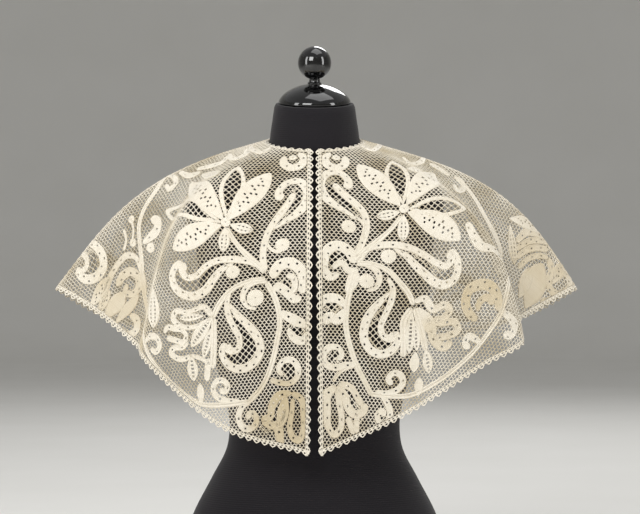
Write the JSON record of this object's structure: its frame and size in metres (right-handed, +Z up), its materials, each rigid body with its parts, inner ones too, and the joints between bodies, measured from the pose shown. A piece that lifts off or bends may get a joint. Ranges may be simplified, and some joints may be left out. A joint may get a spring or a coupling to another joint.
{
  "type": "lace collar on dress form",
  "caption": "Cape-shaped lace collar, open at the centre front, draped on a limbless dress form with a turned neck cap and ball finial.",
  "frame": {"origin": "middle of the dress form's flat base, under the axis of its neck", "axes": "+Z up along the form, -Y towards the form's front, +X towards the form's own left side"},
  "size_m": [0.6826, 0.3013, 0.6979],
  "materials": {
    "lace": "matt ecru cotton lace",
    "form_cover": "matt black jersey",
    "lacquered_wood": "black gloss lacquer"
  },
  "bodies": {
    "root": {"lace_right": "lace", "lace_left": "lace", "hem_edging_right": "lace", "hem_edging_left": "lace", "front_edging_right": "lace", "front_edging_left": "lace", "neck_edging_right": "lace", "neck_edging_left": "lace", "dress_form": "form_cover", "neck_cap": "lacquered_wood", "finial": "lacquered_wood"}
  },
  "joints": []
}
